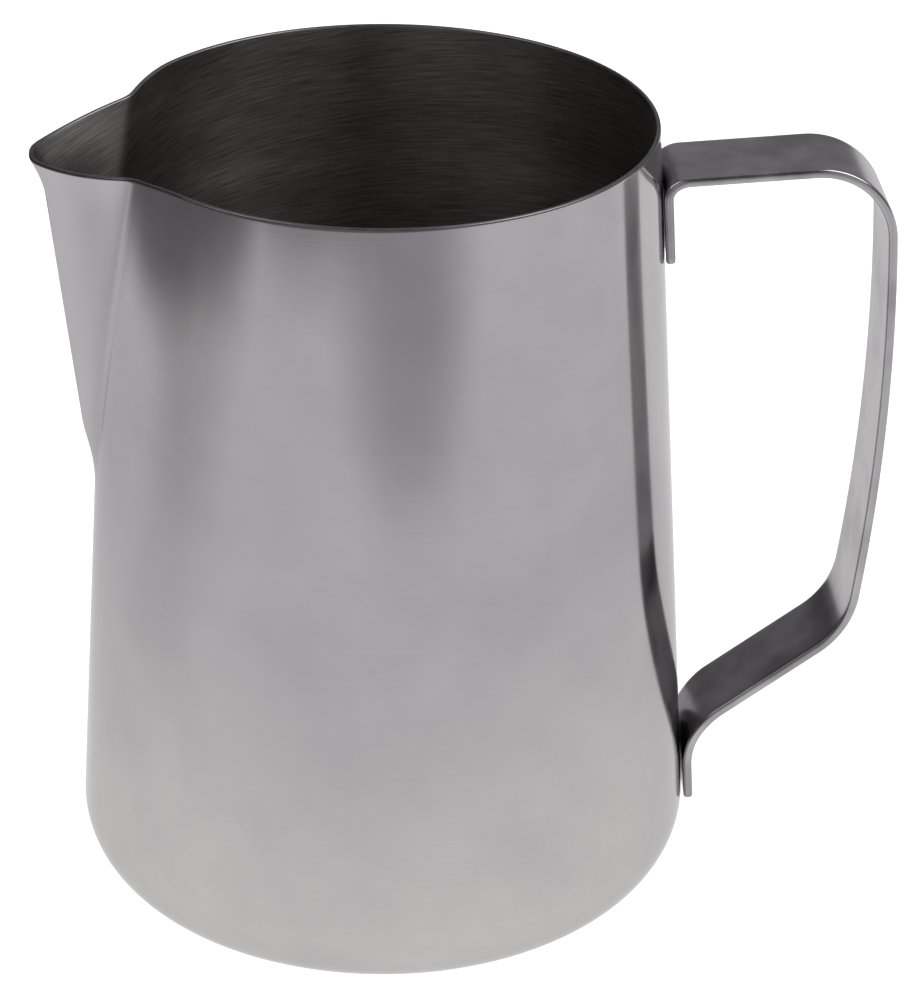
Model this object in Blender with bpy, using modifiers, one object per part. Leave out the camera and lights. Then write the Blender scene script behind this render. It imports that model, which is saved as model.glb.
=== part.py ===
"""Milk frothing pitcher of stainless steel: a deep-drawn jug with a strap handle.

Metres, +Z up.  The origin is the centre of the flat base.  +X points to the
handle and -X to the pouring spout, and the XZ plane is the plane of symmetry.
The object is two pressed pieces and the spot welds that join them:

  pitcher_body         one deep-drawn shell: a flat base with a wide round
                       corner, a straight tapered wall and a spout pressed out
                       of the wall
  handle_strap         one flat bar bent into a handle, with a foot at each end
  upper_weld, lower_weld (left and right)
                       the fused nuggets of the spot welds under the two feet
"""

import math

import bmesh
import bpy
from mathutils import Euler, Vector

MM = 0.001

# Body: outer surface, before the spout is pressed out of it.
HEIGHT = 159.5 * MM
SHEET = 1.0 * MM
BASE_FLAT_RADIUS = 37.0 * MM
WALL_RADIUS_AT_BASE = 60.6 * MM     # the wall's straight line carried down to z = 0
WALL_RADIUS_AT_RIM = 51.9 * MM
CORNER_HEIGHT = 19.0 * MM
RIM_ROUNDING = 0.4 * MM

# Spout: how far it stands out of the wall, and how wide it is.
SPOUT_FOOT = 84.0 * MM              # where the line of the nose meets the wall
SPOUT_START = 84.0 * MM             # lowest height that the press touched
SPOUT_EASE = 16.0 * MM              # height over which the nose leaves the wall
SPOUT_LEAN = 0.178                  # outward run of the nose per unit of height
SPOUT_HALF_ANGLE = math.radians(26.6)
SPOUT_NARROWING = math.radians(0.30) / MM
NOSE_SHARE = 0.23                   # share of the half width taken by the round nose
NOSE_SHARE_LOW = 0.50
CREASE_SHARE = 0.30                 # share taken by the hollow beside the round wall
TIP_FLARE = 2.05 * MM
TIP_FLARE_HEIGHT = 8.6 * MM
RIM_DROP = 4.8 * MM                 # the rim is drawn down where the spout leaves it
RIM_DROP_HALF_ANGLE = math.radians(42.0)

# Mesh density of the body.
BODY_STEPS = 80
RIM_ROW = 3.0 * MM
CORNER_ROWS = 7
LOWER_ROWS = 4
SPOUT_ROWS = 10

# Handle strap: a flat bar, measured along the middle of its thickness.
STRAP_WIDTH = 19.0 * MM
STRAP_THICKNESS = 1.8 * MM
STRAP_EDGE = 0.4 * MM
STRAP_CORNER = 1.0 * MM
UPPER_FOOT_BOTTOM = 132.55 * MM
UPPER_FOOT_LENGTH = 12.85 * MM
UPPER_FOOT_BEND = 3.6 * MM
TOP_RUN_LENGTH = 23.3 * MM
TOP_RUN_RISE = math.radians(2.85)
TOP_BEND = 14.4 * MM
GRIP_RADIUS = 420.0 * MM
GRIP_TOP_LEAN = math.radians(-87.8)
GRIP_BOTTOM_LEAN = math.radians(-98.19)
LOWER_BEND = 17.2 * MM
LOWER_RUN_SLOPE = math.radians(-144.8)
LOWER_FOOT_BEND = 13.7 * MM
LOWER_FOOT_LENGTH = 7.45 * MM
ARC_STEP = math.radians(9.0)
GRIP_ARC_STEP = math.radians(1.7)

# Feet: each is pressed hollow across its width, towards the round of the wall.
FOOT_STANDOFF = 0.7 * MM
UPPER_FOOT_CUPPING = 0.85           # share of the wall's own curve
LOWER_FOOT_CUPPING = 0.5
CUPPING_FADE = 4.0 * MM             # the bar is flat again this far off the wall
BAR_CUTS = 5                        # mesh lines along the bar, between its edges

# Spot welds: nuggets in the narrow space between a foot and the wall.
WELD_RADIUS = 2.0 * MM
WELD_THICKNESS = 0.2 * MM
WELD_OFFSET = 4.0 * MM              # to each side of the plane of symmetry
WELD_SIDES = 20

MERGE_DISTANCE = 0.00001


def smooth_step(value):
    """Rise from 0 to 1 with level ends."""
    value = min(max(value, 0.0), 1.0)
    return value * value * (3.0 - 2.0 * value)


# ---------------------------------------------------------------- body shape

def wall_slope():
    """Change of the wall's radius per unit of height (negative: it tapers in)."""
    return (WALL_RADIUS_AT_RIM - WALL_RADIUS_AT_BASE) / HEIGHT


def wall_radius(height):
    """Outer radius of the turned body at a height."""
    radius = WALL_RADIUS_AT_BASE + wall_slope() * height
    if height < CORNER_HEIGHT:
        below = 1.0 - height / CORNER_HEIGHT
        inset = WALL_RADIUS_AT_BASE - BASE_FLAT_RADIUS
        radius -= inset * (1.0 - math.sqrt(1.0 - below * below))
    return radius


def profile_heights():
    """Heights of the body's rings, from the rim down to the edge of the flat base."""
    heights = [HEIGHT, HEIGHT - 0.35 * RIM_ROW, HEIGHT - RIM_ROW]
    top = HEIGHT - 2.0 * RIM_ROW
    for row in range(SPOUT_ROWS + 1):
        heights.append(top + (SPOUT_START - top) * row / SPOUT_ROWS)
    for row in range(1, LOWER_ROWS + 1):
        heights.append(SPOUT_START + (CORNER_HEIGHT - SPOUT_START) * row / LOWER_ROWS)
    for row in range(1, CORNER_ROWS + 1):
        turn = 0.5 * math.pi * row / CORNER_ROWS
        heights.append(CORNER_HEIGHT * (1.0 - math.sin(turn)))
    return heights


def ramp_area(start, width, value):
    """Integral of a ramp that climbs smoothly from 0 to 1 between start and start + width."""
    if value <= start:
        return 0.0
    if value >= start + width:
        return value - start - 0.5 * width
    share = (value - start) / width
    return width * (share ** 3 - 0.5 * share ** 4)


def spout_section(share, nose_share):
    """Height of the spout's V section across its half width: 1 at the nose, 0 at the crease."""
    if share >= 1.0:
        return 0.0
    steepness = 1.0 / (1.0 - 0.5 * nose_share - 0.5 * CREASE_SHARE)
    climbed = ramp_area(0.0, nose_share, share)
    climbed -= ramp_area(1.0 - CREASE_SHARE, CREASE_SHARE, share)
    return 1.0 - steepness * climbed


def press_spout(point):
    """Move one point of the turned wall to its place on the body with its spout."""
    bearing = abs(math.atan2(point.y, -point.x))
    if point.z <= SPOUT_START or bearing >= RIM_DROP_HALF_ANGLE:
        return point.copy()
    climb = (point.z - SPOUT_START) / (HEIGHT - SPOUT_START)
    drop = 0.5 * RIM_DROP * (1.0 + math.cos(math.pi * bearing / RIM_DROP_HALF_ANGLE))
    height = point.z - drop * climb * climb
    half_angle = SPOUT_HALF_ANGLE - SPOUT_NARROWING * (HEIGHT - point.z)
    nose_share = NOSE_SHARE_LOW + (NOSE_SHARE - NOSE_SHARE_LOW) * climb
    reach = SPOUT_LEAN * (height - SPOUT_FOOT)
    reach *= smooth_step((height - SPOUT_START) / SPOUT_EASE)
    below_rim = HEIGHT - point.z
    if below_rim < TIP_FLARE_HEIGHT:
        reach += TIP_FLARE * (1.0 - below_rim / TIP_FLARE_HEIGHT) ** 1.6
    radius = math.hypot(point.x, point.y)
    stretch = 1.0 + max(reach, 0.0) * spout_section(bearing / half_angle, nose_share) / radius
    return Vector((point.x * stretch, point.y * stretch, height))


# -------------------------------------------------------------- strap's path

def strap_path():
    """Points (x, z) along the middle of the strap, from the upper foot to the lower one."""
    lean = math.atan(wall_slope())
    standoff = FOOT_STANDOFF + 0.5 * STRAP_THICKNESS
    start = (wall_radius(UPPER_FOOT_BOTTOM) + standoff / math.cos(lean), UPPER_FOOT_BOTTOM)
    points = [Vector(start)]
    heading = 0.5 * math.pi - lean

    def run(length, direction):
        points.append(points[-1] + length * Vector((math.cos(direction), math.sin(direction))))

    def bend(radius, first, last, step=ARC_STEP):
        """Turn right, from one heading to a lower one, along an arc."""
        count = max(2, math.ceil((first - last) / step))
        chord = 2.0 * radius * math.sin(0.5 * (first - last) / count)
        for index in range(count):
            run(chord, first + (last - first) * (index + 0.5) / count)

    run(UPPER_FOOT_LENGTH, heading)
    bend(UPPER_FOOT_BEND, heading, TOP_RUN_RISE)
    run(TOP_RUN_LENGTH, TOP_RUN_RISE)
    bend(TOP_BEND, TOP_RUN_RISE, GRIP_TOP_LEAN)
    bend(GRIP_RADIUS, GRIP_TOP_LEAN, GRIP_BOTTOM_LEAN, GRIP_ARC_STEP)
    bend(LOWER_BEND, GRIP_BOTTOM_LEAN, LOWER_RUN_SLOPE)

    # The sloping run is as long as it takes for the lower foot to land on the wall.
    foot_heading = -0.5 * math.pi - lean
    tangent = LOWER_FOOT_BEND * math.tan(0.5 * (foot_heading - LOWER_RUN_SLOPE))
    corner = points[-1]
    slope = math.tan(LOWER_RUN_SLOPE)
    wall_at_corner = WALL_RADIUS_AT_BASE + wall_slope() * corner.y + standoff / math.cos(lean)
    reach = (corner.x - wall_at_corner) / (1.0 - wall_slope() * slope)
    run(reach / -math.cos(LOWER_RUN_SLOPE) - tangent, LOWER_RUN_SLOPE)
    count = math.ceil((foot_heading - LOWER_RUN_SLOPE) / ARC_STEP)
    turn = (foot_heading - LOWER_RUN_SLOPE) / count
    chord = 2.0 * LOWER_FOOT_BEND * math.sin(0.5 * turn)
    for index in range(count):
        run(chord, LOWER_RUN_SLOPE + turn * (index + 0.5))
    run(LOWER_FOOT_LENGTH, foot_heading)
    return points


def cupping(place):
    """Share of the wall's curve that the bar takes on at a point (x, z) of its path."""
    gap = place.x - wall_radius(place.y) - FOOT_STANDOFF - 0.5 * STRAP_THICKNESS
    share = UPPER_FOOT_CUPPING if place.y > 0.5 * HEIGHT else LOWER_FOOT_CUPPING
    return share * (1.0 - smooth_step(gap / CUPPING_FADE))


def fall_back(radius, across):
    """How far a round wall has fallen back, this far to the side of its nearest point."""
    return radius - math.sqrt(radius * radius - across * across)


# ------------------------------------------------------------------- objects

def clear_scene():
    for item in list(bpy.data.objects):
        bpy.data.objects.remove(item, do_unlink=True)


def steel(name, color, roughness):
    """Stainless steel with its colour and polish."""
    material = bpy.data.materials.new(name)
    material.use_nodes = True
    shader = material.node_tree.nodes["Principled BSDF"]
    shader.inputs["Base Color"].default_value = (*color, 1.0)
    shader.inputs["Metallic"].default_value = 1.0
    shader.inputs["Roughness"].default_value = roughness
    return material


def add_object(name, mesh, collection, root, material=None):
    item = bpy.data.objects.new(name, mesh)
    collection.objects.link(item)
    item.parent = root
    if material:
        mesh.materials.append(material)
    return item


def apply_modifiers(item):
    """Keep the evaluated shape as the object's own mesh."""
    depsgraph = bpy.context.evaluated_depsgraph_get()
    mesh = bpy.data.meshes.new_from_object(item.evaluated_get(depsgraph))
    item.modifiers.clear()
    item.data = mesh


def add_thickness(item, thickness, offset):
    solidify = item.modifiers.new("Sheet", "SOLIDIFY")
    solidify.thickness = thickness
    solidify.offset = offset
    solidify.use_even_offset = True


def add_round_edges(item, width, segments):
    bevel = item.modifiers.new("Round edges", "BEVEL")
    bevel.limit_method = "ANGLE"
    bevel.angle_limit = math.radians(60.0)
    bevel.width = width
    bevel.segments = segments


def shade(mesh, angle):
    mesh.shade_smooth()
    mesh.set_sharp_from_angle(angle=math.radians(angle))


def make_body(collection, root, material):
    """Turn the outer surface, press the spout out of it and give the sheet its thickness."""
    outline = [Vector((wall_radius(height), 0.0, height)) for height in profile_heights()]
    outline.append(Vector((0.5 * BASE_FLAT_RADIUS, 0.0, 0.0)))
    outline.append(Vector((0.0, 0.0, 0.0)))
    edges = [(index, index + 1) for index in range(len(outline) - 1)]
    mesh = bpy.data.meshes.new("pitcher_body")
    mesh.from_pydata(outline, edges, [])
    body = add_object("pitcher_body", mesh, collection, root, material)

    turning = body.modifiers.new("Turning", "SCREW")
    turning.axis = "Z"
    turning.steps = BODY_STEPS
    turning.render_steps = BODY_STEPS
    turning.use_merge_vertices = True
    turning.merge_threshold = MERGE_DISTANCE
    apply_modifiers(body)

    for vertex in body.data.vertices:
        vertex.co = press_spout(vertex.co)
    add_thickness(body, SHEET, -1.0)
    add_round_edges(body, RIM_ROUNDING, 2)
    shade(body.data, 40.0)
    return body


def make_strap(path, collection, root, material):
    """Draw the bent bar's path as a ribbon and give it its thickness and soft edges."""
    curve = bpy.data.curves.new("handle_path", "CURVE")
    curve.dimensions = "2D"
    curve.fill_mode = "NONE"
    curve.extrude = 0.5 * STRAP_WIDTH
    spline = curve.splines.new("POLY")
    spline.points.add(len(path) - 1)
    for point, place in zip(spline.points, path):
        point.co = (place.x, place.y, 0.0, 1.0)
    ribbon = bpy.data.objects.new("handle_path", curve)
    collection.objects.link(ribbon)
    depsgraph = bpy.context.evaluated_depsgraph_get()
    mesh = bpy.data.meshes.new_from_object(ribbon.evaluated_get(depsgraph))
    mesh.name = "handle_strap"
    bpy.data.objects.remove(ribbon)

    shape = bmesh.new()
    shape.from_mesh(mesh)
    bmesh.ops.remove_doubles(shape, verts=shape.verts, dist=MERGE_DISTANCE)
    across = [edge for edge in shape.edges if abs(edge.verts[0].co.z - edge.verts[1].co.z) > MM]
    bmesh.ops.subdivide_edges(shape, edges=across, cuts=BAR_CUTS, use_grid_fill=True)
    ends = [vertex for vertex in shape.verts if len(vertex.link_edges) == 2]
    bmesh.ops.bevel(
        shape, geom=ends, offset=STRAP_CORNER, segments=3, profile=0.5, affect="VERTICES"
    )
    for vertex in shape.verts:
        place = Vector(vertex.co.xy)
        vertex.co.x -= cupping(place) * fall_back(wall_radius(place.y), vertex.co.z)
    shape.to_mesh(mesh)
    shape.free()

    strap = add_object("handle_strap", mesh, collection, root, material)
    strap.rotation_euler = Euler((0.5 * math.pi, 0.0, 0.0))
    add_thickness(strap, STRAP_THICKNESS, 0.0)
    add_round_edges(strap, STRAP_EDGE, 2)
    shade(mesh, 40.0)
    return strap


def make_weld(name, foot, side, collection, root, material):
    """One spot-weld nugget under a foot, given by the foot's two end points."""
    middle = 0.5 * (foot[0] + foot[1])
    lean = math.atan(wall_slope())
    radius = wall_radius(middle.y)
    across = side * WELD_OFFSET
    curve = fall_back(radius, across)
    wall_face = radius - curve
    foot_face = middle.x - 0.5 * STRAP_THICKNESS / math.cos(lean) - cupping(middle) * curve
    mesh = bpy.data.meshes.new(name)
    shape = bmesh.new()
    bmesh.ops.create_cone(
        shape, cap_ends=True, segments=WELD_SIDES,
        radius1=WELD_RADIUS, radius2=WELD_RADIUS, depth=WELD_THICKNESS,
    )
    shape.to_mesh(mesh)
    shape.free()
    weld = add_object(name, mesh, collection, root, material)
    weld.location = (0.5 * (foot_face + wall_face), across, middle.y)
    turn = 0.5 * (1.0 + cupping(middle)) * math.asin(across / radius)
    weld.rotation_euler = Euler((0.0, 0.5 * math.pi + lean, turn))
    shade(mesh, 40.0)
    return weld


def main():
    clear_scene()
    collection = bpy.data.collections.new("milk_frothing_pitcher")
    bpy.context.scene.collection.children.link(collection)
    root = bpy.data.objects.new("milk_frothing_pitcher", None)
    collection.objects.link(root)

    polished = steel("polished_steel", (0.60, 0.59, 0.60), 0.08)
    satin = steel("satin_strap_steel", (0.56, 0.56, 0.57), 0.22)
    fused = steel("weld_steel", (0.42, 0.41, 0.41), 0.45)

    make_body(collection, root, polished)
    path = strap_path()
    make_strap(path, collection, root, satin)
    feet = {"upper_weld": path[:2], "lower_weld": path[-2:]}
    for name, foot in feet.items():
        for side_name, side in (("left", -1), ("right", 1)):
            make_weld(f"{name}_{side_name}", foot, side, collection, root, fused)


main()
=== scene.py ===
"""Looks of the milk frothing pitcher: fine steel meshes, their finishes, the studio and the camera.

Metres, +Z up, in the frame's own axes: the origin is the centre of the flat
base, +X points to the handle and -X to the spout.  The jug and its strap are
made again at a fine resolution from the same rules as the frame's solids.
"""

import math

import bmesh
import bpy
from mathutils import Matrix, Vector

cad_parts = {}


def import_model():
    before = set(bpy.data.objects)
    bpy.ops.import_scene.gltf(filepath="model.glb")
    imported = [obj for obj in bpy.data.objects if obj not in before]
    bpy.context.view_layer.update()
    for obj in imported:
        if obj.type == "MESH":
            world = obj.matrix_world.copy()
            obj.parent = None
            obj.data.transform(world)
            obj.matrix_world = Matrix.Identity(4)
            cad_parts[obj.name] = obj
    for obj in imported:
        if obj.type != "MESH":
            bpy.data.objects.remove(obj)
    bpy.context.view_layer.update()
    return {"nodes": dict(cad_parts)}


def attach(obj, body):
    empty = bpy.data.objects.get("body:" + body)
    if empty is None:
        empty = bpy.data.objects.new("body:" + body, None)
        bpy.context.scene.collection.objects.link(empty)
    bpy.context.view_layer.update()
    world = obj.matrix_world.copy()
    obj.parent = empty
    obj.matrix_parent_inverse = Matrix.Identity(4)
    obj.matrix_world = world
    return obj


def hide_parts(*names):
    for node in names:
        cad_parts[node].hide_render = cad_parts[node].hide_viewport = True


MM = 0.001

# Body, as in the frame.
HEIGHT = 159.5 * MM
SHEET = 1.0 * MM
BASE_FLAT_RADIUS = 37.0 * MM
WALL_RADIUS_AT_BASE = 60.6 * MM
WALL_RADIUS_AT_RIM = 51.9 * MM
CORNER_HEIGHT = 19.0 * MM
RIM_ROUNDING = 0.46 * MM

# Spout, as in the frame but with a sharper crease down each side.
SPOUT_FOOT = 84.0 * MM
SPOUT_START = 84.0 * MM
SPOUT_EASE = 16.0 * MM
SPOUT_LEAN = 0.178
SPOUT_HALF_ANGLE = math.radians(26.6)
SPOUT_NARROWING = math.radians(0.30) / MM
NOSE_SHARE = 0.23
NOSE_SHARE_LOW = 0.50
CREASE_SHARE = 0.20
TIP_FLARE = 2.05 * MM
TIP_FLARE_HEIGHT = 8.6 * MM
RIM_DROP = 4.8 * MM
RIM_DROP_HALF_ANGLE = math.radians(42.0)

# Fine mesh of the body, with columns closer together over the spout.
RIM_ROW = 0.8 * MM
COLUMN_STEP = math.radians(1.5)
SPOUT_COLUMN_STEP = math.radians(0.6)
SPOUT_FAN = math.radians(45.0)
SPOUT_ROWS = 56
LOWER_ROWS = 20
CORNER_ROWS = 22
BASE_ROWS = 4

# Strap, as in the frame, but with its feet pressed against the wall.
STRAP_WIDTH = 19.0 * MM
STRAP_THICKNESS = 1.8 * MM
STRAP_EDGE = 0.6 * MM
STRAP_CORNER = 1.0 * MM
UPPER_FOOT_BOTTOM = 132.55 * MM
UPPER_FOOT_LENGTH = 12.85 * MM
UPPER_FOOT_BEND = 3.6 * MM
TOP_RUN_LENGTH = 23.85 * MM
TOP_RUN_RISE = math.radians(2.85)
TOP_BEND = 14.4 * MM
GRIP_RADIUS = 420.0 * MM
GRIP_TOP_LEAN = math.radians(-87.8)
GRIP_BOTTOM_LEAN = math.radians(-98.19)
LOWER_BEND = 17.2 * MM
LOWER_RUN_SLOPE = math.radians(-144.8)
LOWER_FOOT_BEND = 13.7 * MM
LOWER_FOOT_LENGTH = 7.45 * MM
FOOT_STANDOFF = 0.15 * MM
UPPER_FOOT_CUPPING = 0.85
LOWER_FOOT_CUPPING = 0.5
CUPPING_FADE = 4.0 * MM

# Fine mesh of the strap, with a plain border as wide as its rounded edges need.
ARC_STEP = math.radians(2.5)
GRIP_ARC_STEP = math.radians(0.5)
FOOT_ROWS = 20
BAR_COLUMNS = 30
BAR_BORDER = 1.6 * MM

# Marks of the welding electrodes on the feet's outer faces.
WELD_OFFSET = 4.0 * MM
DENT_RADIUS = 2.4 * MM
DENT_SLOPE = 0.7 * MM
DENT_DEPTH = 0.14 * MM

# Camera: an orbit round the middle of the object.
CAMERA_TARGET = Vector((14.75, 0.0, 79.8)) * MM
CAMERA_AZIMUTH = math.radians(-4.91)
CAMERA_ELEVATION = math.radians(26.32)
CAMERA_DISTANCE = 917.9 * MM
CAMERA_ROLL = math.radians(0.47)
CAMERA_LENS = 169.5

# Steel: how much it reflects head on, and near grazing where it is polished or dull.
STEEL = (0.55, 0.54, 0.55)
STEEL_EDGE = (0.84, 0.83, 0.84, 1.0)
INSIDE_EDGE = (0.5, 0.5, 0.5, 1.0)
STROKE_SLANT = math.radians(-6.0)

# Floor, and the light table just above it, which only the steel reflects: a glowing sheet whose
# light and shade are painted reflections.
FLOOR_RADIUS = 6.0
FLOOR_DEPTH = 0.4 * MM
FLOOR_GLOW = 0.75
TABLE_DEPTH = 0.2 * MM
# Colours of the painted reflections on the sheet.
TABLE_NEAR = (0.88, 0.87, 0.86)
TABLE_FAR = (0.69, 0.67, 0.69)
TABLE_BACK = (0.86, 0.85, 0.855)
TABLE_LEFT = (0.53, 0.515, 0.53)
TABLE_PAINTED_SHADE = (0.39, 0.375, 0.405)
TABLE_PAST_PAINTED_DARK = (0.13, 0.125, 0.13)
TABLE_SIDE = 0.035
TABLE_CUT_CORNER = 0.14
FRONT_SHADE_MIDDLE = 0.05
FRONT_SHADE_POINT = 0.20

# Softboxes over the jug, one on each side.
SOFTBOX_ASIDE = 0.62
SOFTBOX_FORWARD = 0.15
SOFTBOX_HEIGHT = 0.95
SOFTBOX_SIZE = (0.6, 0.9)
LEFT_STRENGTH = 1.4
RIGHT_STRENGTH = 3.6

# Room: its light on the floor, and the walls that the steel reflects, with a dark strip in front.
ROOM_LIGHT = (0.6, 0.6, 0.6)
ROOM_DARK = (0.05, 0.049, 0.05)
ROOM_FRONT = (0.45, 0.44, 0.45)
ROOM_BACK = (0.26, 0.25, 0.265)
STRIP_MIDDLE = 0.08


# ---------------------------------------------------------------- body shape

def smooth_step(value):
    """Rise from 0 to 1 with level ends."""
    value = min(max(value, 0.0), 1.0)
    return value * value * (3.0 - 2.0 * value)


def wall_slope():
    """Change of the wall's radius per unit of height (negative: it tapers in)."""
    return (WALL_RADIUS_AT_RIM - WALL_RADIUS_AT_BASE) / HEIGHT


def wall_radius(height):
    """Outer radius of the turned body at a height."""
    radius = WALL_RADIUS_AT_BASE + wall_slope() * height
    if height < CORNER_HEIGHT:
        below = 1.0 - height / CORNER_HEIGHT
        inset = WALL_RADIUS_AT_BASE - BASE_FLAT_RADIUS
        radius -= inset * (1.0 - math.sqrt(1.0 - below * below))
    return radius


def ramp_area(start, width, value):
    """Integral of a ramp that climbs smoothly from 0 to 1 between start and start + width."""
    if value <= start:
        return 0.0
    if value >= start + width:
        return value - start - 0.5 * width
    share = (value - start) / width
    return width * (share ** 3 - 0.5 * share ** 4)


def spout_section(share, nose_share):
    """Height of the spout's V section across its half width: 1 at the nose, 0 at the crease."""
    if share >= 1.0:
        return 0.0
    steepness = 1.0 / (1.0 - 0.5 * nose_share - 0.5 * CREASE_SHARE)
    climbed = ramp_area(0.0, nose_share, share)
    climbed -= ramp_area(1.0 - CREASE_SHARE, CREASE_SHARE, share)
    return 1.0 - steepness * climbed


def press_spout(point):
    """Move one point of the turned wall to its place on the body with its spout."""
    bearing = abs(math.atan2(point.y, -point.x))
    if point.z <= SPOUT_START or bearing >= RIM_DROP_HALF_ANGLE:
        return point.copy()
    climb = (point.z - SPOUT_START) / (HEIGHT - SPOUT_START)
    drop = 0.5 * RIM_DROP * (1.0 + math.cos(math.pi * bearing / RIM_DROP_HALF_ANGLE))
    height = point.z - drop * climb * climb
    half_angle = SPOUT_HALF_ANGLE - SPOUT_NARROWING * (HEIGHT - point.z)
    nose_share = NOSE_SHARE_LOW + (NOSE_SHARE - NOSE_SHARE_LOW) * climb
    reach = SPOUT_LEAN * (height - SPOUT_FOOT)
    reach *= smooth_step((height - SPOUT_START) / SPOUT_EASE)
    below_rim = HEIGHT - point.z
    if below_rim < TIP_FLARE_HEIGHT:
        reach += TIP_FLARE * (1.0 - below_rim / TIP_FLARE_HEIGHT) ** 1.6
    radius = math.hypot(point.x, point.y)
    stretch = 1.0 + max(reach, 0.0) * spout_section(bearing / half_angle, nose_share) / radius
    return Vector((point.x * stretch, point.y * stretch, height))


def ring_heights():
    """Heights of the body's rings, from the rim down to the edge of the flat base."""
    heights = [HEIGHT]
    first = HEIGHT - RIM_ROW
    for row in range(SPOUT_ROWS + 1):
        heights.append(first + (SPOUT_START - first) * row / SPOUT_ROWS)
    for row in range(1, LOWER_ROWS + 1):
        heights.append(SPOUT_START + (CORNER_HEIGHT - SPOUT_START) * row / LOWER_ROWS)
    for row in range(1, CORNER_ROWS + 1):
        turn = 0.5 * math.pi * row / CORNER_ROWS
        heights.append(CORNER_HEIGHT * (1.0 - math.sin(turn)))
    return heights


def column_bearings():
    """Bearings round the axis, closer together over the spout, which is at half a turn."""
    bearings = []
    bearing = 0.0
    while bearing < math.tau - 1e-6:
        bearings.append(bearing)
        near_spout = abs(bearing + 1e-6 - math.pi) < SPOUT_FAN
        bearing += SPOUT_COLUMN_STEP if near_spout else COLUMN_STEP
    return bearings


# -------------------------------------------------------------- strap's path

def strap_path():
    """Points (x, z) along the middle of the strap, from the upper foot to the lower one."""
    lean = math.atan(wall_slope())
    standoff = FOOT_STANDOFF + 0.5 * STRAP_THICKNESS
    start = (wall_radius(UPPER_FOOT_BOTTOM) + standoff / math.cos(lean), UPPER_FOOT_BOTTOM)
    points = [Vector(start)]
    heading = 0.5 * math.pi - lean

    def run(length, direction):
        points.append(points[-1] + length * Vector((math.cos(direction), math.sin(direction))))

    def bend(radius, first, last, step=ARC_STEP):
        """Turn from one heading to another, either way, along an arc."""
        count = max(2, math.ceil(abs(first - last) / step))
        chord = 2.0 * radius * math.sin(0.5 * abs(first - last) / count)
        for index in range(count):
            run(chord, first + (last - first) * (index + 0.5) / count)

    run(BAR_BORDER, heading)
    for _ in range(FOOT_ROWS):
        run((UPPER_FOOT_LENGTH - BAR_BORDER) / FOOT_ROWS, heading)
    bend(UPPER_FOOT_BEND, heading, TOP_RUN_RISE)
    run(TOP_RUN_LENGTH, TOP_RUN_RISE)
    bend(TOP_BEND, TOP_RUN_RISE, GRIP_TOP_LEAN)
    bend(GRIP_RADIUS, GRIP_TOP_LEAN, GRIP_BOTTOM_LEAN, GRIP_ARC_STEP)
    bend(LOWER_BEND, GRIP_BOTTOM_LEAN, LOWER_RUN_SLOPE)

    # The sloping run is as long as it takes for the lower foot to land on the wall.
    foot_heading = -0.5 * math.pi - lean
    tangent = LOWER_FOOT_BEND * math.tan(0.5 * (foot_heading - LOWER_RUN_SLOPE))
    corner = points[-1]
    slope = math.tan(LOWER_RUN_SLOPE)
    wall_at_corner = WALL_RADIUS_AT_BASE + wall_slope() * corner.y + standoff / math.cos(lean)
    reach = (corner.x - wall_at_corner) / (1.0 - wall_slope() * slope)
    run(reach / -math.cos(LOWER_RUN_SLOPE) - tangent, LOWER_RUN_SLOPE)
    bend(LOWER_FOOT_BEND, LOWER_RUN_SLOPE, foot_heading)
    for _ in range(FOOT_ROWS):
        run((LOWER_FOOT_LENGTH - BAR_BORDER) / FOOT_ROWS, foot_heading)
    run(BAR_BORDER, foot_heading)
    return points


def cupping(place):
    """Share of the wall's curve that the bar takes on at a point (x, z) of its path."""
    gap = place.x - wall_radius(place.y) - FOOT_STANDOFF - 0.5 * STRAP_THICKNESS
    share = UPPER_FOOT_CUPPING if place.y > 0.5 * HEIGHT else LOWER_FOOT_CUPPING
    return share * (1.0 - smooth_step(gap / CUPPING_FADE))


def fall_back(radius, across):
    """How far a round wall has fallen back, this far to the side of its nearest point."""
    return radius - math.sqrt(radius * radius - across * across)


# ------------------------------------------------------------- shader helpers

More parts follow.
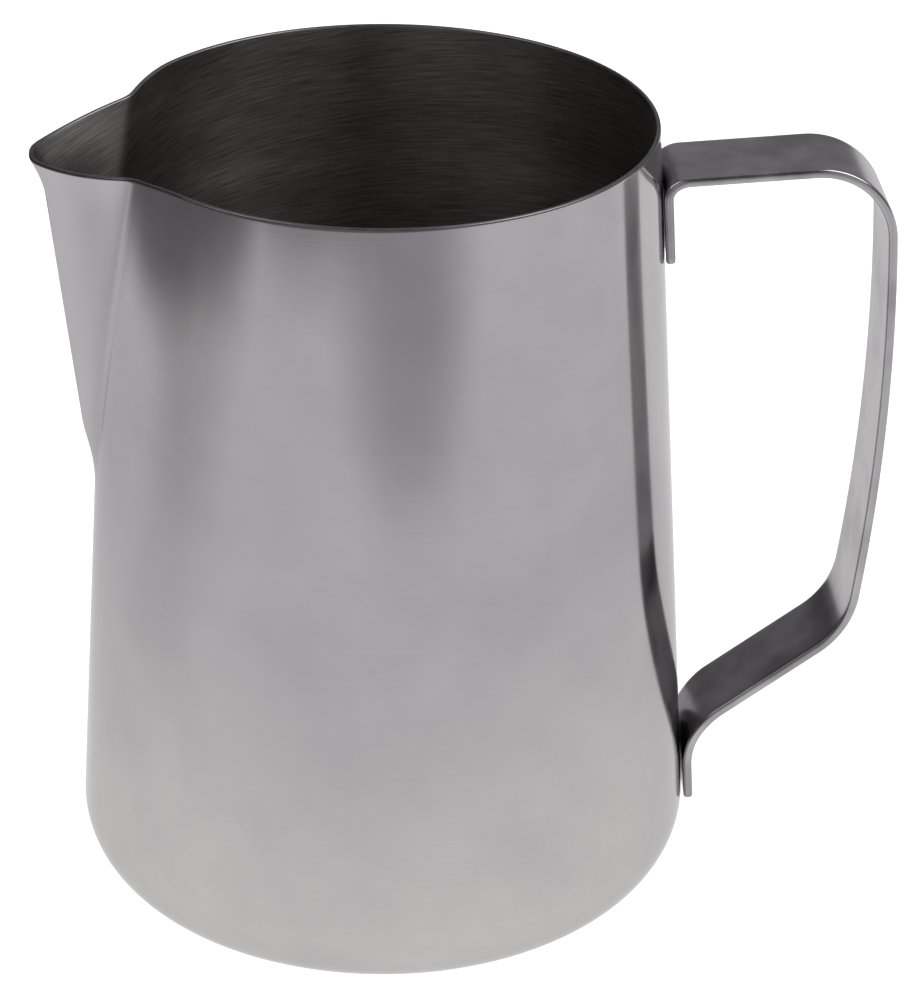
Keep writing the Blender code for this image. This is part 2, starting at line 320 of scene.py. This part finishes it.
class Nodes:
    """Short calls that add nodes to a node tree."""

    def __init__(self, tree):
        self.tree = tree

    def node(self, kind, settings=None, **inputs):
        made = self.tree.nodes.new(kind)
        for name, value in (settings or {}).items():
            setattr(made, name, value)
        for name, value in inputs.items():
            self.put(made.inputs[name.replace("_", " ")], value)
        return made

    def put(self, socket, value):
        """Link a socket to another, or set its value."""
        if isinstance(value, bpy.types.NodeSocket):
            self.tree.links.new(value, socket)
        else:
            socket.default_value = value

    def place(self):
        """Object-space position."""
        return self.node("ShaderNodeTexCoord").outputs["Object"]

    def axes(self, vector):
        """The three numbers of a vector."""
        made = self.node("ShaderNodeSeparateXYZ", Vector=vector)
        return [made.outputs[axis] for axis in "XYZ"]

    def stretch(self, place, scale, turn=0.0):
        """The position turned about Z, then times a scale for each axis."""
        made = self.node("ShaderNodeMapping", {"vector_type": "TEXTURE"})
        self.put(made.inputs["Vector"], place)
        self.put(made.inputs["Rotation"], (0.0, 0.0, turn))
        self.put(made.inputs["Scale"], [1.0 / size for size in scale])
        return made.outputs["Vector"]

    def noise(self, place, scale, detail=3.0, roughness=0.5):
        made = self.node(
            "ShaderNodeTexNoise", Scale=scale, Detail=detail, Roughness=roughness, Vector=place
        )
        return made.outputs["Fac"]

    def span(self, value, low, high, start=0.0, end=1.0, smooth=False):
        """Map the range low..high of a value to start..end, held at its ends."""
        made = self.node(
            "ShaderNodeMapRange", From_Min=low, From_Max=high, To_Min=start, To_Max=end, Value=value
        )
        if smooth:
            made.interpolation_type = "SMOOTHSTEP"
        return made.outputs["Result"]

    def math(self, operation, first, second=0.0):
        made = self.node("ShaderNodeMath", {"operation": operation})
        self.put(made.inputs[0], first)
        self.put(made.inputs[1], second)
        return made.outputs["Value"]

    def length(self, first, second):
        """The length of the hypotenuse over two values."""
        squares = [self.math("MULTIPLY", value, value) for value in (first, second)]
        return self.math("SQRT", self.math("ADD", *squares))

    def weigh(self, first, first_weight, second, second_weight):
        """The sum of two values times their weights."""
        return self.math(
            "ADD",
            self.math("MULTIPLY", first, first_weight),
            self.math("MULTIPLY", second, second_weight),
        )

    def blend(self, share, first, second):
        """A colour between two colours."""
        made = self.node("ShaderNodeMix", {"data_type": "RGBA"})
        self.put(made.inputs[0], share)
        for socket, colour in ((made.inputs[6], first), (made.inputs[7], second)):
            self.put(socket, colour if isinstance(colour, bpy.types.NodeSocket) else (*colour, 1.0))
        return made.outputs[2]

    def bump(self, height, distance, strength=1.0, normal=None):
        made = self.node("ShaderNodeBump", Height=height, Distance=distance, Strength=strength)
        if normal is not None:
            self.put(made.inputs["Normal"], normal)
        return made.outputs["Normal"]

    def only_for(self, ray, shader, other):
        """One shader for a kind of ray and another for the rest."""
        made = self.node("ShaderNodeMixShader")
        self.put(made.inputs["Fac"], self.node("ShaderNodeLightPath").outputs[ray])
        self.put(made.inputs[1], other)
        self.put(made.inputs[2], shader)
        return made.outputs["Shader"]


class Finish(Nodes):
    """A material of one Principled shader."""

    def __init__(self, name, color, roughness, metallic=1.0):
        self.material = bpy.data.materials.new(name)
        self.material.use_nodes = True
        super().__init__(self.material.node_tree)
        self.surface = self.tree.nodes["Principled BSDF"]
        self.set(Base_Color=(*color, 1.0), Roughness=roughness, Metallic=metallic)

    def wall_place(self, layer):
        """A flat position on the sheet: metres round the wall or along the bar, and across it."""
        return self.node("ShaderNodeUVMap", {"uv_map": layer}).outputs["UV"]

    def set(self, **inputs):
        for name, value in inputs.items():
            self.put(self.surface.inputs[name.replace("_", " ")], value)

    def spout_painted_sheen(self):
        """1 on the spout and 0 on the wall: where the steel gets a brighter colour, a painted
        reflection.
        """
        x, y, z = self.axes(self.place())
        wall = self.math("ADD", self.math("MULTIPLY", z, wall_slope()), WALL_RADIUS_AT_BASE)
        proud = self.math("SUBTRACT", self.length(x, y), wall)
        return self.span(proud, 0.3 * MM, 3.0 * MM, smooth=True)

    def spread_upright(self, amount):
        """Reflections stretched up and down, as lines that run round the jug stretch them."""
        self.set(
            Anisotropic=amount,
            Anisotropic_Rotation=0.25,
            Tangent=self.node("ShaderNodeTangent", {"axis": "Z"}).outputs["Tangent"],
        )


# ----------------------------------------------------------------- materials

def polished_steel():
    """Mirror-polished steel: faint lines round the wall, a slow waviness and a few soft smudges."""
    finish = Finish("polished_steel", STEEL, 0.12)
    place = finish.place()
    wall = finish.wall_place("wall")
    lines = finish.noise(finish.stretch(wall, (14.0, 2600.0, 1.0)), 1.0, 2.0)
    waves = finish.noise(place, 22.0, 1.0)
    smudges = finish.noise(place, 34.0, 4.0, 0.6)
    tint = finish.weigh(finish.noise(place, 42.0, 5.0, 0.6), 0.88, lines, 0.12)
    tint = finish.span(tint, 0.3, 0.7)
    steel = finish.blend(tint, (0.520, 0.508, 0.518), (0.590, 0.578, 0.582))
    normal = finish.bump(waves, 0.00012)
    normal = finish.bump(lines, 0.0000012, 1.0, normal)
    finish.set(
        # The brighter steel on the spout is a painted reflection.
        Base_Color=finish.blend(finish.spout_painted_sheen(), steel, (0.64, 0.63, 0.635)),
        Specular_Tint=STEEL_EDGE,
        Roughness=finish.span(smudges, 0.35, 0.75, 0.10, 0.16),
        Normal=normal,
    )
    finish.spread_upright(0.5)
    return finish.material


def brushed_steel():
    """The inside of the jug: brushed round the wall in short slanting strokes."""
    finish = Finish("brushed_inside", STEEL, 0.4)
    wall = finish.wall_place("wall")
    strokes = finish.noise(finish.stretch(wall, (110.0, 2600.0, 1.0), STROKE_SLANT), 1.0, 3.0, 0.65)
    patches = finish.noise(finish.stretch(wall, (20.0, 90.0, 1.0)), 1.0, 2.0)
    finish.set(
        Base_Color=finish.blend(
            finish.span(strokes, 0.3, 0.7), (0.20, 0.192, 0.187), (0.50, 0.485, 0.47)
        ),
        Specular_Tint=INSIDE_EDGE,
        Roughness=finish.span(patches, 0.3, 0.7, 0.32, 0.42),
        Normal=finish.bump(strokes, 0.00005),
    )
    finish.spread_upright(0.8)
    return finish.material


def rim_painted_shade_steel():
    """The sheet's cut and rounded edge round the rim: left dull, and given a dark colour that is
    painted shade, so it draws a darker line.
    """
    finish = Finish("rim_edge_painted_shade", STEEL, 0.35)
    grain = finish.noise(finish.place(), 500.0, 3.0, 0.6)
    finish.set(
        # Painted shade: this dark colour draws the dark line that the rim reflects.
        Base_Color=finish.blend(grain, (0.16, 0.155, 0.155), (0.28, 0.27, 0.27)),
        Specular_Tint=INSIDE_EDGE,
        Roughness=finish.span(grain, 0.3, 0.7, 0.28, 0.38),
    )
    return finish.material


def strap_steel():
    """The flat bar: polished along its length, with a soft sheen."""
    finish = Finish("strap_steel", STEEL, 0.2)
    bar = finish.wall_place("bar")
    lines = finish.noise(finish.stretch(bar, (40.0, 1900.0, 1.0)), 1.0, 2.0)
    patches = finish.noise(finish.place(), 60.0, 3.0, 0.6)
    finish.set(
        Base_Color=finish.blend(
            finish.span(patches, 0.38, 0.62), (0.36, 0.35, 0.36), (0.55, 0.54, 0.545)
        ),
        Specular_Tint=STEEL_EDGE,
        Roughness=finish.span(patches, 0.3, 0.7, 0.15, 0.24),
        Normal=finish.bump(lines, 0.000004),
    )
    return finish.material


def weld_steel():
    """Fused metal of a spot weld: dull and slightly blued."""
    finish = Finish("fused_steel", STEEL, 0.45)
    grain = finish.noise(finish.place(), 900.0, 4.0, 0.6)
    finish.set(
        Base_Color=finish.blend(grain, (0.22, 0.20, 0.20), (0.38, 0.37, 0.40)),
        Roughness=finish.span(grain, 0.3, 0.7, 0.38, 0.55),
        Normal=finish.bump(grain, 0.00008),
    )
    return finish.material


# -------------------------------------------------------------------- pieces

def link(item):
    bpy.context.scene.collection.objects.link(item)
    return item


def apply_modifiers(item):
    """Keep the evaluated shape as the object's own mesh."""
    depsgraph = bpy.context.evaluated_depsgraph_get()
    mesh = bpy.data.meshes.new_from_object(item.evaluated_get(depsgraph))
    item.modifiers.clear()
    item.data = mesh


def shade(mesh, angle):
    """Smooth shading, with edges over this many degrees kept sharp."""
    mesh.shade_smooth()
    mesh.set_sharp_from_angle(angle=math.radians(angle))


def make_body(outside, inside, rim):
    """The jug's shell: rings of points from the rim to the base, pressed out at the spout."""
    heights = ring_heights()
    bearings = column_bearings()
    radii = [wall_radius(height) for height in heights]
    for row in range(1, BASE_ROWS):
        heights.append(0.0)
        radii.append(BASE_FLAT_RADIUS * (1.0 - row / BASE_ROWS))

    shape = bmesh.new()
    layer = shape.loops.layers.uv.new("wall")
    along = [0.0]
    for row in range(1, len(heights)):
        step = math.hypot(radii[row] - radii[row - 1], heights[row] - heights[row - 1])
        along.append(along[-1] - step)
    rings = []
    for radius, height in zip(radii, heights):
        ring = []
        for bearing in bearings:
            point = Vector((radius * math.cos(bearing), radius * math.sin(bearing), height))
            ring.append(shape.verts.new(press_spout(point)))
        rings.append(ring)
    turns = [*bearings, math.tau]
    count = len(bearings)
    for row in range(len(rings) - 1):
        for column in range(count):
            after = (column + 1) % count
            face = shape.faces.new(
                (rings[row][column], rings[row + 1][column],
                 rings[row + 1][after], rings[row][after])
            )
            corners = ((column, row), (column, row + 1), (column + 1, row + 1), (column + 1, row))
            for loop, (turn, depth) in zip(face.loops, corners):
                loop[layer].uv = (turns[turn] * WALL_RADIUS_AT_RIM, along[depth])
    centre = shape.verts.new((0.0, 0.0, 0.0))
    for column in range(count):
        after = (column + 1) % count
        face = shape.faces.new((rings[-1][column], centre, rings[-1][after]))
        for loop in face.loops:
            loop[layer].uv = (loop.vert.co.x, along[-1] + loop.vert.co.y)
    mesh = bpy.data.meshes.new("jug_body")
    shape.to_mesh(mesh)
    shape.free()

    body = link(bpy.data.objects.new("jug_body", mesh))
    mesh.materials.append(outside)
    mesh.materials.append(inside)
    mesh.materials.append(rim)
    sheet = body.modifiers.new("Sheet", "SOLIDIFY")
    sheet.thickness = SHEET
    sheet.offset = -1.0
    sheet.use_even_offset = True
    sheet.material_offset = 1
    edge = body.modifiers.new("Rim", "BEVEL")
    edge.limit_method = "ANGLE"
    edge.angle_limit = math.radians(60.0)
    edge.width = RIM_ROUNDING
    edge.segments = 4
    # The rim's rounded faces take the rim steel with its painted shade.
    edge.material = 2
    apply_modifiers(body)
    shade(body.data, 50.0)
    return body


def press_dents(mesh, path):
    """Press the four electrode marks into the outer faces of the two feet."""
    upper = path[0].y + 0.5 * UPPER_FOOT_LENGTH
    lower = path[-1].y + 0.5 * LOWER_FOOT_LENGTH
    for vertex in mesh.vertices:
        place = vertex.co
        middle = wall_radius(place.z) + FOOT_STANDOFF + 0.5 * STRAP_THICKNESS
        if not middle < place.x < middle + STRAP_THICKNESS:
            continue
        height = upper if place.z > 0.5 * HEIGHT else lower
        distance = math.hypot(abs(place.y) - WELD_OFFSET, place.z - height)
        place.x -= DENT_DEPTH * smooth_step((DENT_RADIUS - distance) / DENT_SLOPE)


def make_strap(material):
    """The handle: the bar's path drawn as a ribbon, with thickness and rounded edges."""
    path = strap_path()
    lengths = [0.0]
    for first, second in zip(path, path[1:]):
        lengths.append(lengths[-1] + (second - first).length)

    shape = bmesh.new()
    layer = shape.loops.layers.uv.new("bar")
    inner = STRAP_WIDTH - 2.0 * BAR_BORDER
    columns = [inner * (column / BAR_COLUMNS - 0.5) for column in range(BAR_COLUMNS + 1)]
    columns = [-0.5 * STRAP_WIDTH, *columns, 0.5 * STRAP_WIDTH]
    rows = []
    for place in path:
        share = cupping(place)
        row = []
        for across in columns:
            back = share * fall_back(wall_radius(place.y), across)
            row.append(shape.verts.new((place.x - back, across, place.y)))
        rows.append(row)
    for index in range(len(rows) - 1):
        for column in range(len(columns) - 1):
            corners = (
                (index, column), (index + 1, column),
                (index + 1, column + 1), (index, column + 1),
            )
            face = shape.faces.new([rows[row][side] for row, side in corners])
            for loop, (row, side) in zip(face.loops, corners):
                loop[layer].uv = (lengths[row], columns[side])
    ends = [rows[0][0], rows[0][-1], rows[-1][0], rows[-1][-1]]
    bmesh.ops.bevel(
        shape, geom=ends, offset=STRAP_CORNER, segments=6, profile=0.5,
        affect="VERTICES",
    )
    mesh = bpy.data.meshes.new("jug_handle")
    shape.to_mesh(mesh)
    shape.free()

    strap = link(bpy.data.objects.new("jug_handle", mesh))
    mesh.materials.append(material)
    bar = strap.modifiers.new("Bar", "SOLIDIFY")
    bar.thickness = STRAP_THICKNESS
    bar.offset = 0.0
    bar.use_even_offset = True
    apply_modifiers(strap)
    press_dents(strap.data, path)
    edge = strap.modifiers.new("Edges", "BEVEL")
    edge.limit_method = "ANGLE"
    edge.angle_limit = math.radians(60.0)
    edge.width = STRAP_EDGE
    edge.segments = 4
    apply_modifiers(strap)
    shade(strap.data, 50.0)
    return strap


# -------------------------------------------------------------------- studio

def paper():
    """Matt white paper."""
    finish = Finish("floor_paper", (0.9, 0.9, 0.9), 0.9, 0.0)
    fibres = finish.noise(finish.place(), 600.0, 3.0)
    finish.set(
        Base_Color=finish.blend(fibres, (0.89, 0.89, 0.89), (0.91, 0.91, 0.91)),
        Specular_IOR_Level=0.1,
        Emission_Color=(1.0, 1.0, 1.0, 1.0),
        Emission_Strength=FLOOR_GLOW,
    )
    return finish.material


def bare_material(name):
    """A material without a surface shader yet, and its nodes."""
    material = bpy.data.materials.new(name)
    material.use_nodes = True
    nodes = Nodes(material.node_tree)
    nodes.tree.nodes.remove(nodes.tree.nodes["Principled BSDF"])
    return material, nodes


def painted_front_shade(nodes, x, y):
    """1 in the painted shade in front, which widens away from its point near the jug, and 0
    elsewhere.
    """
    forward = nodes.math("MULTIPLY", y, -1.0)
    aside = nodes.math("ABSOLUTE", nodes.math("SUBTRACT", x, FRONT_SHADE_MIDDLE))
    beyond = nodes.math("MAXIMUM", nodes.math("SUBTRACT", forward, FRONT_SHADE_POINT), 0.01)
    return nodes.math(
        "MULTIPLY",
        nodes.span(nodes.math("DIVIDE", aside, beyond), 1.2, 0.1, smooth=True),
        nodes.span(forward, 0.29, 0.43, smooth=True),
    )


def painted_dark_past_table(nodes, x, y):
    """1 in the painted dark past the table's left side and its cut corner, a painted reflection of a
    dark room, and 0 on the table.
    """
    side = nodes.math("SUBTRACT", nodes.math("MULTIPLY", x, -1.0), TABLE_SIDE)
    corner = nodes.math("SUBTRACT", nodes.weigh(x, -0.64, y, -0.77), TABLE_CUT_CORNER)
    past = nodes.math("MAXIMUM", nodes.weigh(x, -0.97, y, 0.24), side)
    past = nodes.math("MAXIMUM", past, corner)
    return nodes.span(past, 0.365, 0.45, smooth=True)


def painted_reflection_table():
    """A glowing sheet only the steel sees, with painted reflections: a light table that dims
    outwards, in a dark room, with painted shade in front.
    """
    material, nodes = bare_material("painted_reflection_sheet")
    x, y, _ = nodes.axes(nodes.place())
    away = nodes.length(x, y)
    # Painted light: bright near the jug and dimming outwards, as a pool of light.
    table = nodes.blend(nodes.span(away, 0.08, 0.24), TABLE_NEAR, TABLE_FAR)
    # Painted light: brighter behind the jug.
    behind = nodes.math(
        "MULTIPLY",
        nodes.span(y, 0.06, 0.20, smooth=True),
        nodes.span(x, -0.12, 0.02, smooth=True),
    )
    table = nodes.blend(behind, table, TABLE_BACK)
    # Painted shade on the left.
    left = nodes.math(
        "MULTIPLY",
        nodes.span(nodes.weigh(x, -0.77, y, 0.64), 0.10, 0.25, smooth=True),
        nodes.span(y, 0.10, -0.04, smooth=True),
    )
    table = nodes.blend(left, table, TABLE_LEFT)
    # Painted shade in front of the jug.
    table = nodes.blend(painted_front_shade(nodes, x, y), table, TABLE_PAINTED_SHADE)
    # Painted dark past the table's edge.
    table = nodes.blend(painted_dark_past_table(nodes, x, y), table, TABLE_PAST_PAINTED_DARK)
    # Painted dark at the rear left.
    rear_left = nodes.math(
        "MULTIPLY",
        nodes.span(nodes.weigh(x, -0.3, y, 1.0), 0.30, 0.42, smooth=True),
        nodes.span(x, 0.02, -0.08, smooth=True),
    )
    table = nodes.blend(rear_left, table, TABLE_PAST_PAINTED_DARK)
    shine = nodes.node("ShaderNodeEmission", Color=table)
    nodes.put(nodes.tree.nodes["Material Output"].inputs["Surface"], shine.outputs["Emission"])
    return material


def make_disc(name, depth, material):
    """A wide level disc this far under the jug's base."""
    mesh = bpy.data.meshes.new(name)
    shape = bmesh.new()
    bmesh.ops.create_circle(shape, cap_ends=True, segments=64, radius=FLOOR_RADIUS)
    shape.to_mesh(mesh)
    shape.free()
    mesh.materials.append(material)
    disc = link(bpy.data.objects.new(name, mesh))
    disc.location = (0.0, 0.0, -depth)
    return disc


def only_in_reflections(item):
    """Leave a light to the steel's reflections alone."""
    item.visible_camera = False
    item.visible_diffuse = False
    item.visible_shadow = False


def make_softbox(name, place, strength):
    """A softbox that points at the jug's mouth and fades towards its edges."""
    material, nodes = bare_material(name)
    x, y, _ = nodes.axes(nodes.place())
    edges = [nodes.span(nodes.math("ABSOLUTE", axis), 1.0, 0.6, smooth=True) for axis in (x, y)]
    fade = nodes.math("MULTIPLY", *edges)
    shine = nodes.node("ShaderNodeEmission", Strength=nodes.math("MULTIPLY", fade, strength))
    nodes.put(nodes.tree.nodes["Material Output"].inputs["Surface"], shine.outputs["Emission"])

    mesh = bpy.data.meshes.new(name)
    shape = bmesh.new()
    bmesh.ops.create_grid(shape, x_segments=1, y_segments=1, size=1.0)
    shape.to_mesh(mesh)
    shape.free()
    mesh.materials.append(material)
    box = link(bpy.data.objects.new(name, mesh))
    box.location = place
    box.scale = (0.5 * SOFTBOX_SIZE[0], 0.5 * SOFTBOX_SIZE[1], 1.0)
    aim = Vector((0.0, 0.0, HEIGHT)) - Vector(place)
    box.rotation_euler = aim.to_track_quat("-Z", "Y").to_euler()
    only_in_reflections(box)


def make_world():
    """A white room to the camera and the floor, and a dim one to the steel's reflections."""
    world = bpy.data.worlds.new("studio")
    bpy.context.scene.world = world
    world.use_nodes = True
    nodes = Nodes(world.node_tree)
    seen = nodes.tree.nodes["Background"]
    nodes.put(seen.inputs["Color"], (1.0, 1.0, 1.0, 1.0))
    light = nodes.node("ShaderNodeBackground", Color=(*ROOM_LIGHT, 1.0))
    x, y, _ = nodes.axes(nodes.node("ShaderNodeTexCoord").outputs["Generated"])
    walls = nodes.blend(nodes.span(y, -0.65, -0.82, smooth=True), ROOM_DARK, ROOM_FRONT)
    aside = nodes.math("ABSOLUTE", nodes.math("SUBTRACT", x, STRIP_MIDDLE))
    walls = nodes.blend(nodes.span(aside, 0.16, 0.10, smooth=True), walls, ROOM_DARK)
    rear = nodes.math(
        "MULTIPLY", nodes.span(y, -0.1, 0.3, smooth=True), nodes.span(x, -0.64, -0.1, smooth=True)
    )
    walls = nodes.blend(rear, walls, ROOM_BACK)
    reflected = nodes.node("ShaderNodeBackground", Color=walls)
    surface = nodes.only_for(
        "Is Glossy Ray", reflected.outputs["Background"], light.outputs["Background"]
    )
    surface = nodes.only_for("Is Camera Ray", seen.outputs["Background"], surface)
    nodes.put(nodes.tree.nodes["World Output"].inputs["Surface"], surface)


def make_camera():
    """The camera on its orbit, turned to its target and rolled a little."""
    data = bpy.data.cameras.new("camera")
    data.lens = CAMERA_LENS
    data.clip_start = 0.01
    data.clip_end = 20.0
    camera = link(bpy.data.objects.new("camera", data))
    level = math.cos(CAMERA_ELEVATION)
    back = Vector((
        math.sin(CAMERA_AZIMUTH) * level, -math.cos(CAMERA_AZIMUTH) * level,
        math.sin(CAMERA_ELEVATION),
    ))
    turn = (-back).to_track_quat("-Z", "Y").to_matrix().to_4x4()
    roll = Matrix.Rotation(CAMERA_ROLL, 4, "Z")
    camera.matrix_world = Matrix.Translation(CAMERA_TARGET + back * CAMERA_DISTANCE) @ turn @ roll
    bpy.context.scene.camera = camera


def main():
    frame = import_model()

    body = make_body(polished_steel(), brushed_steel(), rim_painted_shade_steel())
    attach(body, "root")
    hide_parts("pitcher_body")

    strap = make_strap(strap_steel())
    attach(strap, "root")
    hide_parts("handle_strap")

    fused = weld_steel()
    for name, node in frame["nodes"].items():
        if "weld" in name:
            node.data.materials.clear()
            node.data.materials.append(fused)

    make_disc("studio_floor", FLOOR_DEPTH, paper())
    # The light table: a glowing sheet that only the steel sees, whose pattern is painted reflection.
    only_in_reflections(make_disc("painted_reflection_sheet", TABLE_DEPTH, painted_reflection_table()))
    for name, side, strength in (("left", -1.0, LEFT_STRENGTH), ("right", 1.0, RIGHT_STRENGTH)):
        place = (side * SOFTBOX_ASIDE, -SOFTBOX_FORWARD, SOFTBOX_HEIGHT)
        make_softbox(f"softbox_{name}", place, strength)
    make_world()
    make_camera()
    bpy.context.scene.view_settings.view_transform = "Standard"


main()
